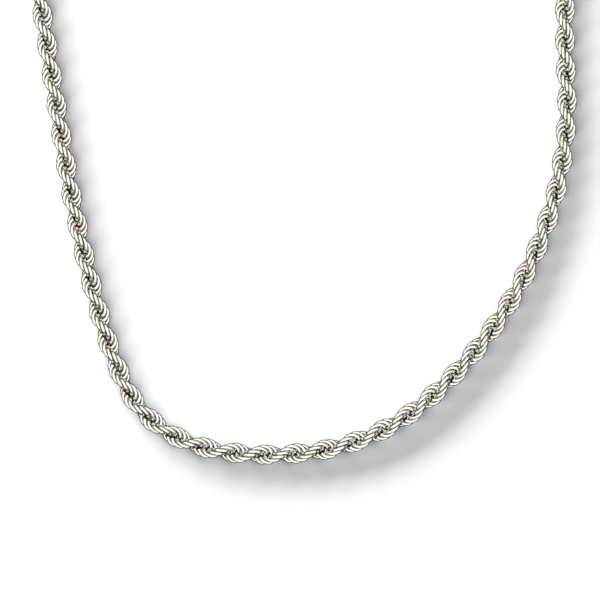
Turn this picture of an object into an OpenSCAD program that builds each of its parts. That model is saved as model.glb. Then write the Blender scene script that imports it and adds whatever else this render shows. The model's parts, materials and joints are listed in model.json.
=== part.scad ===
// Rope chain necklace in silver, unclasped and laid open on a table in a U.
// Round wire rings are linked one through the next, each turned a little, so that two strands
// seem to wind round each other. A lobster clasp hangs on one end and a catch tag on the other.
// Frame: millimetres, +Z up, origin under the middle of the outline on the table top.
// The rope runs from the clasp end down the left arm, round the bottom and up the right arm.

/* [Rope rings] */
// Diameter of the round wire
wire_d = 0.5; // [0.44:0.01:0.5]
// Radius of a ring, to the middle of its wire
ring_r = 1.24; // [1.23:0.01:1.26]
// Opening cut in each ring, which later rings pass through
ring_gap = 0.86; // [0.84:0.01:0.92]
// Distance along the rope from one ring to the next
ring_pitch = 0.69; // [0.688:0.001:0.692]
// Turn about the rope from one ring to the next, in degrees
ring_turn = 28; // [27.5:0.1:28.5]
// Turn of the first ring, in degrees
first_turn = 97; // [0:1:359]

/* [Sections] */
// Rings in each straight-moving section
rings_section = 23; // [22:1:24]
// Rings in each bending link between two sections
rings_flex = 5; // [5:1:6]

/* [End caps] */
// Inner radius of the cap
cap_bore_r = 1.52; // [1.5:0.01:1.55]
// Outer radius of the cap, and the height of the rope's middle above the table
cap_r = 1.67; // [1.65:0.01:1.75]
// Radius of the wire of the cap's loop
loop_wire_r = 0.3; // [0.25:0.01:0.3]

/* [Jump rings] */
// Radius of a jump ring, to the middle of its wire
jump_r = 1.25; // [1.24:0.01:1.28]
// Radius of the jump ring's wire
jump_wire_r = 0.35; // [0.3:0.01:0.35]

/* [Clasp] */
// Radius of the hook, to the middle of its bar
hook_r = 2.3; // [2.2:0.05:2.3]
// Radius of the hook's bar
hook_bar_r = 0.85; // [0.75:0.05:0.85]
// Radius of the lever's bar
lever_bar_r = 0.55; // [0.45:0.05:0.55]
// Radius of the pin
pin_r = 0.38; // [0.3:0.01:0.38]

/* [Catch tag] */
// Radius of the large hole that the clasp hooks into
catch_r = 1.7; // [1.5:0.05:1.8]
// Thickness of the tag
tag_t = 1; // [0.7:0.05:1]

/* [Hidden] */
$fn = 32;
eps = 0.01;

n_sections = 23;
n_rings = n_sections*rings_section + (n_sections - 1)*rings_flex;
silver = [0.86, 0.855, 0.835];
bright = [0.9, 0.9, 0.89];
dull = [0.7, 0.7, 0.68];

// Arcs of the rope's middle line: length in millimetres, turn to the left in degrees.
arcs = [
    [70, 10], [70, 4.5], [22, 0.5], [26, 7.5], [8, 8], [12, 41.5], [7, 16.5], [13, 15.5],
    [18, 32.5], [34, 32.5], [19, 20], [14, -5.5], [60, 5], [70, 3]
];
start_xy = [-41.05, 95.91];
start_dir = -95.8;
first_s = 0.9;

// Position and direction [x, y, heading] at distance s along one arc that starts at p.
function on_arc(p, len, turn, s) =
    turn == 0
    ? [p[0] + s*cos(p[2]), p[1] + s*sin(p[2]), p[2]]
    : let (r = len/turn*180/PI, h = p[2] + turn*s/len)
      [p[0] + r*(sin(h) - sin(p[2])), p[1] - r*(cos(h) - cos(p[2])), h];

// Position and direction at distance s along the whole line.
function on_line(s, i = 0, p = [start_xy[0], start_xy[1], start_dir]) =
    (s <= arcs[i][0] || i == len(arcs) - 1)
    ? on_arc(p, arcs[i][0], arcs[i][1], s)
    : on_line(s - arcs[i][0], i + 1, on_arc(p, arcs[i][0], arcs[i][1], arcs[i][0]));

function ring_s(k) = first_s + k*ring_pitch;

// Names of the numbered nodes: rope_01 and so on.
function two(i) = str(i < 10 ? "0" : "", i);

// One open ring with its middle at the origin: the rope runs along X and the opening faces -X.
module ring() {
    half = asin(ring_gap/2/ring_r);
    rotate([0, 0, 180 + half])
        rotate_extrude(angle = 360 - 2*half)
            translate([ring_r, 0])
                circle(d = wire_d);
}

// Rings a to b in their places along the rope.
module rings(a, b) {
    for (k = [a:b]) {
        p = on_line(ring_s(k));
        translate([p[0], p[1], cap_r])
            rotate([0, 0, p[2]])
                rotate([first_turn - ring_turn*k, 0, 0])
                    ring();
    }
}

// Section i of the rope, counted from 1 at the clasp end.
module rope_section(i) {
    a = (i - 1)*(rings_section + rings_flex);
    color(silver)
        rings(a, a + rings_section - 1);
}

// The bending link after section i.
module flex_link(i) {
    a = i*rings_section + (i - 1)*rings_flex;
    color(silver)
        rings(a, a + rings_flex - 1);
}

// Frames at the two ends of the rope, with X pointing away from it.
module at_left_end() {
    p = on_line(ring_s(0));
    translate([p[0], p[1], cap_r])
        rotate([0, 0, p[2] + 180])
            children();
}

module at_right_end() {
    p = on_line(ring_s(n_rings - 1));
    translate([p[0], p[1], cap_r])
        rotate([0, 0, p[2]])
            children();
}

// X positions in an end frame: the end wall of the cap, its loop and the jump ring.
cap_inside = 1.62;
cap_end = 1.95;
loop_r = 0.95;
loop_x = cap_end + loop_r + loop_wire_r - 0.25;
jump_x = loop_x + 0.25 + jump_r;
far_x = jump_x + jump_r;

// Cup over the last rings with a closed end and a loop that lies flat.
module end_cap() {
    difference() {
        rotate([0, 90, 0])
            translate([0, 0, -1])
                cylinder(r = cap_r, h = cap_end + 1);
        rotate([0, 90, 0])
            translate([0, 0, -1.5])
                cylinder(r = cap_bore_r, h = cap_inside + 1.5);
    }
    translate([loop_x, 0, 0])
        rotate_extrude()
            translate([loop_r, 0])
                circle(r = loop_wire_r);
}

module end_cap_left() {
    color(bright)
        at_left_end()
            end_cap();
}

module end_cap_right() {
    color(bright)
        at_right_end()
            end_cap();
}

// Round ring that stands upright between a cap's loop and what hangs on it.
module jump_ring() {
    translate([jump_x, 0, 0])
        rotate([90, 0, 0])
            rotate_extrude()
                translate([jump_r, 0])
                    circle(r = jump_wire_r);
}

module jump_ring_left() {
    color(silver)
        at_left_end()
            jump_ring();
}

module jump_ring_right() {
    color(silver)
        at_right_end()
            jump_ring();
}

// Clasp frame: the jump ring's wire stands at the origin and the hook points along +X.
module at_clasp() {
    at_left_end()
        translate([far_x, 0, 0])
            children();
}

eye_x = 0.1;
eye_r = 0.75;
eye_outer_r = 1.45;
block_x = 2.6;
block_r = 2;
block_h = 2.8;
slot_h = 1.2;
hook_x = 6.2;
pivot = [3.1, 1.35];
tip_r = 4.12;
tip_gap = 0.08;

// Body of the lobster clasp: tail eye, block with a slot for the lever, and the hook.
// The hook's tip is cut round the pin, so that the lever's tip swings past it.
module clasp_body() {
    color(bright)
        at_clasp()
            difference() {
                union() {
                    translate([eye_x, 0, -0.5])
                        cylinder(r = eye_outer_r, h = 1);
                    translate([block_x, 0, -block_h/2])
                        cylinder(r = block_r, h = block_h);
                    translate([hook_x, 0, 0])
                        rotate([0, 0, -160])
                            rotate_extrude(angle = 224)
                                translate([hook_r, 0])
                                    circle(r = hook_bar_r);
                }
                intersection() {
                    translate([pivot[0], pivot[1], -2])
                        cylinder(r = tip_r + tip_gap, h = 4);
                    translate([hook_x, 0.7, -2])
                        cube([3, 3, 4]);
                }
                translate([eye_x, 0, -1])
                    cylinder(r = eye_r, h = 2);
                translate([2, -0.3, -slot_h/2])
                    cube([3.4, 4, slot_h]);
                translate([pivot[0], pivot[1], -2])
                    cylinder(r = pin_r, h = 4);
            }
}

// Lever that closes the hook, with its knuckle round the pin and a tab for the thumb.
module clasp_lever() {
    color(silver)
        at_clasp()
            difference() {
                union() {
                    translate([pivot[0], pivot[1], -0.5])
                        cylinder(r = 0.95, h = 1);
                    translate([pivot[0] - 0.2, pivot[1] + 1.15, -0.5])
                        cylinder(r = 0.5, h = 1);
                    intersection() {
                        translate([hook_x, 0, 0])
                            rotate([0, 0, 56])
                                rotate_extrude(angle = 102)
                                    translate([hook_r, 0])
                                        circle(r = lever_bar_r);
                        translate([pivot[0], pivot[1], -2])
                            cylinder(r = tip_r, h = 4);
                    }
                }
                translate([pivot[0], pivot[1], -2])
                    cylinder(r = pin_r + 0.04, h = 4);
            }
}

// Pin pressed through the block, flush with its faces.
module clasp_pin() {
    color(dull)
        at_clasp()
            translate([pivot[0], pivot[1], -block_h/2])
                cylinder(r = pin_r, h = block_h);
}

// Bent wire spring that lies in the slot under the lever's knuckle.
module clasp_spring() {
    color(dull)
        at_clasp()
            translate([pivot[0], pivot[1], 0])
                rotate([0, 0, -145])
                    rotate_extrude(angle = 70)
                        translate([1.12, 0])
                            circle(r = 0.12);
}

// Flat tag with a small eye for the jump ring and a large hole for the clasp.
module catch_tag() {
    big_x = eye_x + 3.6;
    color(bright)
        at_right_end()
            translate([far_x, 0, -tag_t/2])
                difference() {
                    union() {
                        translate([eye_x, 0, 0])
                            cylinder(r = eye_outer_r, h = tag_t);
                        translate([big_x, 0, 0])
                            cylinder(r = catch_r + 0.8, h = tag_t);
                    }
                    translate([eye_x, 0, -1])
                        cylinder(r = eye_r, h = tag_t + 2);
                    translate([big_x, 0, -1])
                        cylinder(r = catch_r, h = tag_t + 2);
                }
}

for (i = [1:n_sections])
    rope_section(i);
for (i = [1:n_sections - 1])
    flex_link(i);
end_cap_left();
end_cap_right();
jump_ring_left();
jump_ring_right();
clasp_body();
clasp_lever();
clasp_pin();
clasp_spring();
catch_tag();
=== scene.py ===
"""Looks of the rope chain necklace: polished silver rings on a white table.

Every ring is built here as an open ring of round wire, in the place that the CAD gives it.
The rings of a section ride on that section's body, and the rings of each bending link stand fixed, on no
body.
"""

import json
import math
import random

import bmesh
import bpy
import numpy as np
from mathutils import Matrix, Vector
from mathutils.bvhtree import BVHTree

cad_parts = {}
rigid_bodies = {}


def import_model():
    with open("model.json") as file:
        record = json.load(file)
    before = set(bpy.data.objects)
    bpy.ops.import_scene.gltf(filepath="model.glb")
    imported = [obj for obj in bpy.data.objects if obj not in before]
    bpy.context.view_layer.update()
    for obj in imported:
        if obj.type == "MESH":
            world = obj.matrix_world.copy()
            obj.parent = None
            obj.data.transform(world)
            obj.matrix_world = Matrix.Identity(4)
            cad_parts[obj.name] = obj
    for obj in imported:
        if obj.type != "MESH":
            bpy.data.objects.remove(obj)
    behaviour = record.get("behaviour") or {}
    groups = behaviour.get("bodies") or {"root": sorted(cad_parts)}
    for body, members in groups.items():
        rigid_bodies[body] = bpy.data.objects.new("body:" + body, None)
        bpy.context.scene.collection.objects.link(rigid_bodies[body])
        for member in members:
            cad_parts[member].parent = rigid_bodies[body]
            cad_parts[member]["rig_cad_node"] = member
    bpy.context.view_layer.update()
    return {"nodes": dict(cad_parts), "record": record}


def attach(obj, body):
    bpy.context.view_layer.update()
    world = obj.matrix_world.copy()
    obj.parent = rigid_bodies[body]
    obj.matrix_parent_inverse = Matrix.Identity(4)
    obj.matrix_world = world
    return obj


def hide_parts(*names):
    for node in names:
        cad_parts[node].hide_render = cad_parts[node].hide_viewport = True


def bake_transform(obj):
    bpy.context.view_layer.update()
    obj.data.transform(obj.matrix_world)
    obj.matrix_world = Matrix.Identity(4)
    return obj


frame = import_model()

MM = 0.001
rng = random.Random(7)

# The rope's middle line, as in the CAD: arcs of [length in mm, turn to the left in degrees].
ARCS = [
    [70, 10], [70, 4.5], [22, 0.5], [26, 7.5], [8, 8], [12, 41.5], [7, 16.5], [13, 15.5],
    [18, 32.5], [34, 32.5], [19, 20], [14, -5.5], [60, 5], [70, 3],
]
START_XY = (-41.05, 95.91)
START_DIR = -95.8
FIRST_S = 0.9
AXIS_Z = 1.67

# The rings, as in the CAD.
WIRE_D = 0.5
RING_R = 1.24
RING_GAP = 0.86
RING_PITCH = 0.69
RING_TURN = 28
FIRST_TURN = 97
N_SECTIONS = 23
RINGS_SECTION = 23
RINGS_FLEX = 5

# Segments of a ring's mesh, along the wire and round it.
ALONG = 44
ROUND = 14

# Largest random turn of a ring, in degrees: about the rope, across it, and about the ring's own middle.
MAX_TURN = 1
MAX_LEAN = 1.2
MAX_SLIP = 3

# Half of a length about a bending link's middle, in mm; the line's points at its two ends are found, but
# nothing uses them.
BEND_REACH = 1.8


def on_line(s):
    """Position (x, y) in mm and heading in radians at distance s along the rope."""
    x, y = START_XY
    h = math.radians(START_DIR)
    for i, (length, turn) in enumerate(ARCS):
        u = s if s <= length or i == len(ARCS) - 1 else length
        k = math.radians(turn) / length
        x += (math.sin(h + k * u) - math.sin(h)) / k
        y -= (math.cos(h + k * u) - math.cos(h)) / k
        h += k * u
        s -= length
        if s <= 0:
            break
    return x, y, h


def ring_template():
    """Points, normals and faces of one open ring with rounded wire ends, in mm, in the ring's frame."""
    half = math.asin(RING_GAP / 2 / RING_R)
    r = WIRE_D / 2
    first, last = math.pi + half, 3 * math.pi - half
    end = 0.35 * r / RING_R
    # Stations along the wire: angle and wire radius.
    stations = [(first, 0.55 * r), (first + 0.3 * end, 0.86 * r)]
    stations += [(first + end + (last - first - 2 * end) * i / ALONG, r) for i in range(ALONG + 1)]
    stations += [(last - 0.3 * end, 0.86 * r), (last, 0.55 * r)]
    points, normals, faces = [], [], []
    for a, wr in stations:
        for j in range(ROUND):
            b = 2 * math.pi * j / ROUND
            rad = RING_R + wr * math.cos(b)
            points.append((rad * math.cos(a), rad * math.sin(a), wr * math.sin(b)))
            normals.append((math.cos(b) * math.cos(a), math.cos(b) * math.sin(a), math.sin(b)))
    n = len(stations)
    for i in range(n - 1):
        for j in range(ROUND):
            k = (j + 1) % ROUND
            faces.append((i * ROUND + j, (i + 1) * ROUND + j, (i + 1) * ROUND + k, i * ROUND + k))
    faces.append(tuple(range(ROUND)))
    faces.append(tuple((n - 1) * ROUND + j for j in reversed(range(ROUND))))
    return np.array(points), np.array(normals), faces


RING_POINTS, RING_NORMALS, RING_FACES = ring_template()


def ring_exposure(reach=1.1, count=96):
    """How open each point of a ring is, from 0 in a crevice to 1, among its neighbours on a straight rope."""
    verts, faces = [], []
    for k in range(-6, 7):
        m = Matrix.Translation((RING_PITCH * k, 0, 0)) @ Matrix.Rotation(math.radians(-RING_TURN * k), 4, "X")
        faces += [tuple(len(verts) + i for i in f) for f in RING_FACES]
        verts += [m @ Vector(p) for p in RING_POINTS]
    tree = BVHTree.FromPolygons(verts, faces)
    golden = math.pi * (3 - math.sqrt(5))
    rays = []
    for i in range(count):
        up = math.sqrt(1 - (i + 0.5) / count)
        side = math.sqrt(1 - up * up)
        rays.append(Vector((side * math.cos(golden * i), side * math.sin(golden * i), up)))
    exposure = []
    for p, n in zip(RING_POINTS, RING_NORMALS):
        out = Vector(n)
        turn = out.to_track_quat("Z", "Y")
        start = Vector(p) + out * 0.01
        free = sum(tree.ray_cast(start, turn @ ray, reach)[0] is None for ray in rays)
        exposure.append(free / count)
    return np.array(exposure)


RING_EXPOSURE = ring_exposure()


def ring_matrix(k):
    """Place of ring k as a 4x4 matrix in mm, with the small unevenness of a hand linked chain."""
    x, y, h = on_line(FIRST_S + RING_PITCH * k)
    place = Matrix.Translation((x, y, AXIS_Z)) @ Matrix.Rotation(h, 4, "Z")
    turn = math.radians(FIRST_TURN - RING_TURN * k + rng.uniform(-MAX_TURN, MAX_TURN))
    lean = Matrix.Rotation(math.radians(rng.uniform(-MAX_LEAN, MAX_LEAN)), 4, "Y")
    slip = Matrix.Rotation(math.radians(rng.uniform(-MAX_SLIP, MAX_SLIP)), 4, "Z")
    return place @ Matrix.Rotation(turn, 4, "X") @ lean @ slip


def rings_mesh(name, first, count):
    """One mesh with rings first to first + count - 1, each point with its exposure."""
    verts, faces = [], []
    for k in range(first, first + count):
        m = np.array(ring_matrix(k))
        faces += [tuple(len(verts) * len(RING_POINTS) + i for i in f) for f in RING_FACES]
        verts.append(RING_POINTS @ m[:3, :3].T + m[:3, 3])
    mesh = bpy.data.meshes.new(name)
    mesh.from_pydata([tuple(v) for v in np.concatenate(verts) * MM], [], faces)
    mesh.polygons.foreach_set("use_smooth", [True] * len(mesh.polygons))
    layer = mesh.attributes.new("exposure", "FLOAT", "POINT")
    layer.data.foreach_set("value", np.tile(RING_EXPOSURE, count).astype(np.float32))
    mesh.update()
    obj = bpy.data.objects.new(name, mesh)
    bpy.context.scene.collection.objects.link(obj)
    return obj


def node_of(tree, kind, place, **inputs):
    """A shader node with its inputs set."""
    n = tree.nodes.new(kind)
    n.location = place
    for key, value in inputs.items():
        n.inputs[key.replace("_", " ")].default_value = value
    return n


def ramp(tree, place, *stops):
    """A colour ramp with stops of (position, colour)."""
    n = tree.nodes.new("ShaderNodeValToRGB")
    n.location = place
    e = n.color_ramp.elements
    while len(e) > 1:
        e.remove(e[-1])
    e[0].position, e[0].color = stops[0][0], (*stops[0][1], 1)
    for position, colour in stops[1:]:
        e.new(position).color = (*colour, 1)
    return n


# Painted shade in the rope's crevices: its colour, and the exposures where it is full and where it ends.
CREVICE_SHADE = (0.05, 0.045, 0.038)
CREVICE_SHADE_FULL = 0.16
CREVICE_SHADE_NONE = 0.34


def silver_material(name, tint, shade, rough, painted_shade):
    """Silver with a slight warm tint that wanders, fine scratches, and, when asked for, painted shade that
    darkens its crevices.
    """
    mat = bpy.data.materials.new(name)
    mat.use_nodes = True
    t = mat.node_tree
    shader = t.nodes["Principled BSDF"]
    shader.inputs["Metallic"].default_value = 1
    where = node_of(t, "ShaderNodeTexCoord", (-1300, 0))
    cloud = node_of(t, "ShaderNodeTexNoise", (-1050, 200), Scale=900.0, Detail=4.0)
    t.links.new(where.outputs["Object"], cloud.inputs["Vector"])
    colour = ramp(t, (-800, 200), (0.35, shade), (0.6, tint))
    t.links.new(cloud.outputs["Fac"], colour.inputs["Fac"])
    surface = colour.outputs["Color"]
    # Painted shade: the base colour goes to a near-black shade colour where a point of a ring is hemmed in by
    # its neighbours.
    if painted_shade:
        openness = node_of(t, "ShaderNodeAttribute", (-1050, -50))
        openness.attribute_name = "exposure"
        amount = ramp(t, (-800, -50), (CREVICE_SHADE_FULL, (0, 0, 0)), (CREVICE_SHADE_NONE, (1, 1, 1)))
        t.links.new(openness.outputs["Fac"], amount.inputs["Fac"])
        mix = t.nodes.new("ShaderNodeMix")
        mix.location = (-450, 150)
        mix.data_type = "RGBA"
        mix.inputs["A"].default_value = (*CREVICE_SHADE, 1)
        t.links.new(amount.outputs["Color"], mix.inputs["Factor"])
        t.links.new(surface, mix.inputs["B"])
        surface = mix.outputs["Result"]
    t.links.new(surface, shader.inputs["Base Color"])
    grain = node_of(t, "ShaderNodeTexNoise", (-1050, -350), Scale=5200.0, Detail=5.0)
    t.links.new(where.outputs["Object"], grain.inputs["Vector"])
    gloss = ramp(t, (-800, -350), (0.3, (rough * 0.7,) * 3), (0.7, (rough * 1.5,) * 3))
    t.links.new(grain.outputs["Fac"], gloss.inputs["Fac"])
    t.links.new(gloss.outputs["Color"], shader.inputs["Roughness"])
    bump = node_of(t, "ShaderNodeBump", (-450, -350), Strength=0.12, Distance=0.00002)
    t.links.new(grain.outputs["Fac"], bump.inputs["Height"])
    t.links.new(bump.outputs["Normal"], shader.inputs["Normal"])
    return mat


def give(obj, mat):
    """Sets an object's one material."""
    obj.data.materials.clear()
    obj.data.materials.append(mat)


# The rings' silver carries painted shade in its crevices.
ring_silver = silver_material("ring_silver", (0.93, 0.91, 0.85), (0.86, 0.82, 0.74), 0.09, True)
bright_silver = silver_material("bright_silver", (0.94, 0.94, 0.92), (0.88, 0.87, 0.84), 0.12, False)
spring_steel = silver_material("spring_steel", (0.72, 0.72, 0.7), (0.62, 0.62, 0.6), 0.3, False)
SLOT_MATERIAL = {"ring_silver": ring_silver, "bright_silver": bright_silver, "spring_steel": spring_steel}

# CAD nodes keep their shape and get the material of their slot.
plain_silver = silver_material("plain_silver", (0.92, 0.91, 0.88), (0.86, 0.85, 0.81), 0.14, False)
for part in frame["record"]["subparts"]:
    node = frame["nodes"][part["node"]]
    mat = SLOT_MATERIAL[part["material_slot"]]
    give(node, plain_silver if mat == ring_silver else mat)

# Rope sections and bending links.
for i in range(1, N_SECTIONS + 1):
    first = (i - 1) * (RINGS_SECTION + RINGS_FLEX)
    rope = rings_mesh(f"rope_rings_{i:02d}", first, RINGS_SECTION)
    give(rope, ring_silver)
    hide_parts(f"rope_{i:02d}")
    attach(rope, f"section_{i:02d}")
    if i < N_SECTIONS:
        start = first + RINGS_SECTION
        link = rings_mesh(f"flex_rings_{i:02d}", start, RINGS_FLEX)
        give(link, ring_silver)
        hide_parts(f"flex_{i:02d}")
        middle = FIRST_S + RING_PITCH * (start + (RINGS_FLEX - 1) / 2)
        for s in (middle - BEND_REACH, middle + BEND_REACH):
            x, y, _ = on_line(s)
        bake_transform(link)

# Fittings, as in the CAD, in a frame at each end of the rope with X pointing away from it.
CAP_LIP = -1.0
CAP_BORE_R = 1.52
CAP_R = 1.67
CAP_INSIDE = 1.62
CAP_END = 1.95
LOOP_R = 0.95
LOOP_WIRE_R = 0.3
LOOP_X = CAP_END + LOOP_R + LOOP_WIRE_R - 0.25
CLASP_X = LOOP_X + 0.25 + 2 * 1.25
BLOCK_X = 2.6
BLOCK_R = 2.0
BLOCK_TOP = 1.4
SLOT_TOP = 0.6
BLOCK_CROWN = 0.38


def end_frame(left):
    """Frame of one end of the rope, in mm."""
    k = 0 if left else N_SECTIONS * RINGS_SECTION + (N_SECTIONS - 1) * RINGS_FLEX - 1
    x, y, h = on_line(FIRST_S + RING_PITCH * k)
    return Matrix.Translation((x, y, AXIS_Z)) @ Matrix.Rotation(h + (math.pi if left else 0), 4, "Z")


def arc(cx, cr, r, a0, a1, steps=8):
    """Points (x, radius) of a rounded corner, with angles in degrees."""
    angles = [math.radians(a0 + (a1 - a0) * i / steps) for i in range(steps + 1)]
    return [(cx + r * math.cos(a), cr + r * math.sin(a)) for a in angles]


def lathe(bm, profile, axis, closed, around=96):
    """Turns a profile of (distance along, radius) about the X or Z axis into bm."""
    rows = []
    for u, r in profile:
        row = []
        for j in range(around):
            b = 2 * math.pi * j / around
            c, d = r * math.cos(b), r * math.sin(b)
            row.append(bm.verts.new((u, c, d) if axis == "X" else (c, d, u)))
        rows.append(row)
    pairs = list(zip(rows, rows[1:])) + ([(rows[-1], rows[0])] if closed else [])
    for low, high in pairs:
        for j in range(around):
            k = (j + 1) % around
            bm.faces.new((low[j], high[j], high[k], low[k]))
    if not closed:
        bm.faces.new(rows[0])
        bm.faces.new(reversed(rows[-1]))


def add_piece(name, mesh, mat, body, node):
    """Links a finished mesh as a smooth piece that stands for a CAD node."""
    mesh.polygons.foreach_set("use_smooth", [True] * len(mesh.polygons))
    obj = bpy.data.objects.new(name, mesh)
    bpy.context.scene.collection.objects.link(obj)
    give(obj, mat)
    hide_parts(node)
    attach(obj, body)
    return obj


def end_cap(side, body):
    """Cup with a rolled lip and a rounded shoulder, and its loop."""
    lip = (CAP_R - CAP_BORE_R) / 2
    shoulder = 0.4
    bm = bmesh.new()
    profile = [(CAP_INSIDE, 0.02), (CAP_INSIDE, CAP_BORE_R - 0.2)]
    profile += arc(CAP_INSIDE - 0.2, CAP_BORE_R - 0.2, 0.2, 0, 90)
    profile += [(CAP_LIP + 1.2, CAP_BORE_R), (CAP_LIP + 0.4, CAP_BORE_R)]
    profile += arc(CAP_LIP + lip, CAP_BORE_R + lip, lip, -90, -270)
    profile += [(CAP_LIP + 0.4, CAP_R), (CAP_LIP + 1.2, CAP_R)]
    profile += arc(CAP_END - shoulder, CAP_R - shoulder, shoulder, 90, 0)
    profile += [(CAP_END, 0.02)]
    lathe(bm, profile, "X", False)
    wire = [(z, r) for r, z in arc(LOOP_R, 0, LOOP_WIRE_R, 0, 360, 24)[:-1]]
    first = len(bm.verts)
    lathe(bm, wire, "Z", True)
    bm.verts.ensure_lookup_table()
    for v in bm.verts[first:]:
        v.co.x += LOOP_X
    bmesh.ops.recalc_face_normals(bm, faces=bm.faces)
    bm.transform(Matrix.Scale(MM, 4) @ end_frame(side == "left"))
    mesh = bpy.data.meshes.new(f"cap_{side}")
    bm.to_mesh(mesh)
    bm.free()
    add_piece(f"cap_{side}", mesh, bright_silver, body, f"end_cap_{side}")


def cast_piece(name, node, body, mat, voxel=0.055, passes=22, shape=None):
    """The CAD node as a casting: its edges are rounded and polished, and shape may then move its points."""
    bm = bmesh.new()
    bm.from_mesh(frame["nodes"][node].data)
    bm.transform(Matrix.Scale(1 / MM, 4))
    bmesh.ops.remove_doubles(bm, verts=bm.verts, dist=0.0005)
    rough = bpy.data.meshes.new(f"{name}_rough")
    bm.to_mesh(rough)
    bm.free()
    block = bpy.data.objects.new(f"{name}_rough", rough)
    bpy.context.scene.collection.objects.link(block)
    remesh = block.modifiers.new("remesh", "REMESH")
    remesh.mode = "VOXEL"
    remesh.voxel_size = voxel
    polish = block.modifiers.new("polish", "SMOOTH")
    polish.factor = 0.5
    polish.iterations = passes
    done = block.evaluated_get(bpy.context.evaluated_depsgraph_get())
    mesh = bpy.data.meshes.new_from_object(done)
    mesh.name = name
    bpy.data.objects.remove(block)
    points = np.empty(len(mesh.vertices) * 3)
    mesh.vertices.foreach_get("co", points)
    points = points.reshape(-1, 3)
    if shape:
        points = shape(points)
    mesh.vertices.foreach_set("co", (points * MM).ravel())
    mesh.update()
    return add_piece(name, mesh, mat, body, node)


def crown_block(points):
    """Crowns the two flat faces of the clasp's block, which are thinner at the rim."""
    place = np.array(end_frame(True) @ Matrix.Translation((CLASP_X, 0, 0)))
    local = (points - place[:3, 3]) @ place[:3, :3]
    far = np.hypot(local[:, 0] - BLOCK_X, local[:, 1]) / BLOCK_R
    top = BLOCK_TOP - BLOCK_CROWN * np.minimum(far, 1) ** 2
    z = np.abs(local[:, 2])
    over = (z > SLOT_TOP) & (far < 1.03)
    z_new = SLOT_TOP + (z - SLOT_TOP) * (top - SLOT_TOP) / (BLOCK_TOP - SLOT_TOP)
    local[:, 2] = np.where(over, np.sign(local[:, 2]) * z_new, local[:, 2])
    return local @ place[:3, :3].T + place[:3, 3]


end_cap("left", "section_01")
end_cap("right", f"section_{N_SECTIONS:02d}")
cast_piece("clasp_casting", "clasp_body", "clasp", bright_silver, shape=crown_block)
cast_piece("lever_casting", "clasp_lever", "lever", bright_silver, voxel=0.045, passes=14)
cast_piece("tag_casting", "catch_tag", "catch_tag", bright_silver)

# Light by height above the horizon: the dome shines on the table, and the tent is what the silver reflects.
DOME = ((0.0, (0.01,) * 3), (0.75, (0.03,) * 3), (0.9, (0.9,) * 3), (1.0, (1.0,) * 3))
DOME_STRENGTH = 1.65
TENT = (
    (0.0, (0.02,) * 3), (0.32, (0.08,) * 3), (0.42, (0.8,) * 3),
    (0.7, (1.0,) * 3), (0.93, (0.95,) * 3), (1.0, (0.68,) * 3),
)
TENT_STRENGTH = 1.42
# Colour of the table in reflections.
CARD = (0.07, 0.07, 0.07)
TABLE_HALF = 1.5
TABLE_DROP = 2e-5

# Table top.
floor_mesh = bpy.data.meshes.new("table_top")
corners = [(x * TABLE_HALF, y * TABLE_HALF, -TABLE_DROP) for x, y in ((-1, -1), (1, -1), (1, 1), (-1, 1))]
floor_mesh.from_pydata(corners, [], [(0, 1, 2, 3)])
floor = bpy.data.objects.new("table_top", floor_mesh)
bpy.context.scene.collection.objects.link(floor)
paper = bpy.data.materials.new("table_paper")
paper.use_nodes = True
pt = paper.node_tree
pt.nodes["Principled BSDF"].inputs["Roughness"].default_value = 0.9
pt.nodes["Principled BSDF"].inputs["Specular IOR Level"].default_value = 0.1
where = node_of(pt, "ShaderNodeTexCoord", (-900, 0))
fibre = node_of(pt, "ShaderNodeTexNoise", (-700, 0), Scale=400.0, Detail=3.0)
tone = ramp(pt, (-450, 0), (0.3, (0.93, 0.93, 0.93)), (0.7, (0.95, 0.95, 0.95)))
pt.links.new(where.outputs["Object"], fibre.inputs["Vector"])
pt.links.new(fibre.outputs["Fac"], tone.inputs["Fac"])
# In the silver's reflections the table is dark, as with the black cards of a jewellery studio.
ray = node_of(pt, "ShaderNodeLightPath", (-450, 300))
card = pt.nodes.new("ShaderNodeMix")
card.location = (-200, 100)
card.data_type = "RGBA"
card.inputs["B"].default_value = (*CARD, 1)
pt.links.new(ray.outputs["Is Glossy Ray"], card.inputs["Factor"])
pt.links.new(tone.outputs["Color"], card.inputs["A"])
pt.links.new(card.outputs["Result"], pt.nodes["Principled BSDF"].inputs["Base Color"])
floor_mesh.materials.append(paper)

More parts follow.
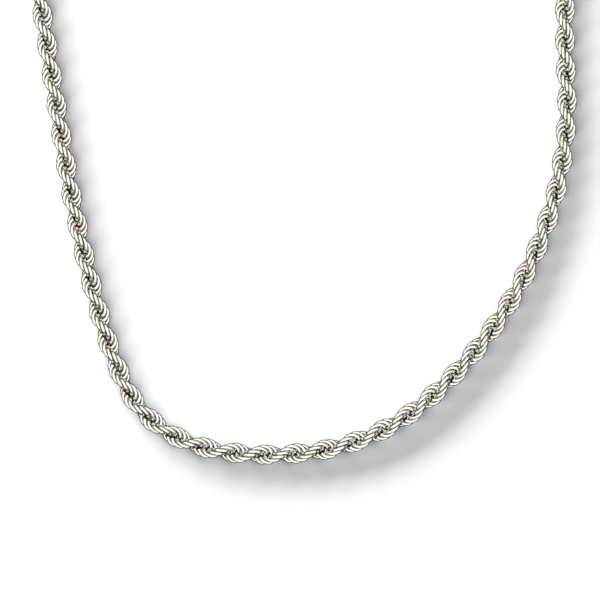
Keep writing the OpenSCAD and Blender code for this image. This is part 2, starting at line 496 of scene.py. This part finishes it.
# Camera straight above, with a long lens, on the bottom of the U.
VIEW_CENTRE = Vector((3.645, -85.92, AXIS_Z)) * MM
VIEW_WIDTH = 87.85 * MM
DISTANCE = 1.3
cam_data = bpy.data.cameras.new("camera")
cam = bpy.data.objects.new("camera", cam_data)
bpy.context.scene.collection.objects.link(cam)
cam.location = VIEW_CENTRE + Vector((0, 0, DISTANCE))
cam_data.sensor_width = 36
cam_data.lens = 36 * DISTANCE / VIEW_WIDTH
cam_data.clip_start = 0.01
cam_data.clip_end = 20
bpy.context.scene.camera = cam


def area_light(name, towards, azimuth, elevation, distance, size, power):
    """A soft light, size (wide, high), that shines on the point towards and that reflections leave out."""
    data = bpy.data.lights.new(name, "AREA")
    data.shape = "ELLIPSE"
    data.size, data.size_y = size
    data.energy = power
    obj = bpy.data.objects.new(name, data)
    bpy.context.scene.collection.objects.link(obj)
    a, e = math.radians(azimuth), math.radians(elevation)
    away = Vector((math.cos(a) * math.cos(e), math.sin(a) * math.cos(e), math.sin(e)))
    obj.location = towards + away * distance
    obj.rotation_euler = away.to_track_quat("Z", "Y").to_euler()
    obj.visible_glossy = False


area_light("key", VIEW_CENTRE, azimuth=130, elevation=23, distance=1.2, size=(1.6, 0.45), power=31)

# Room: what shines on the table, and what the silver reflects.
world = bpy.data.worlds.new("room")
bpy.context.scene.world = world
world.use_nodes = True
wt = world.node_tree
sky = node_of(wt, "ShaderNodeTexCoord", (-1100, 0))
split = node_of(wt, "ShaderNodeSeparateXYZ", (-900, 0))
wt.links.new(sky.outputs["Generated"], split.inputs["Vector"])
ray = node_of(wt, "ShaderNodeLightPath", (-200, 400))
room = wt.nodes.new("ShaderNodeMixShader")
room.location = (0, 0)
wt.links.new(ray.outputs["Is Glossy Ray"], room.inputs[0])
for slot, (stops, strength) in enumerate(((DOME, DOME_STRENGTH), (TENT, TENT_STRENGTH))):
    height = ramp(wt, (-650, -300 * slot), *stops)
    glow = node_of(wt, "ShaderNodeBackground", (-300, -300 * slot), Strength=strength)
    wt.links.new(split.outputs["Z"], height.inputs["Fac"])
    wt.links.new(height.outputs["Color"], glow.inputs["Color"])
    wt.links.new(glow.outputs["Background"], room.inputs[1 + slot])
wt.links.new(room.outputs["Shader"], wt.nodes["World Output"].inputs["Surface"])
bpy.context.scene.view_settings.view_transform = "Standard"
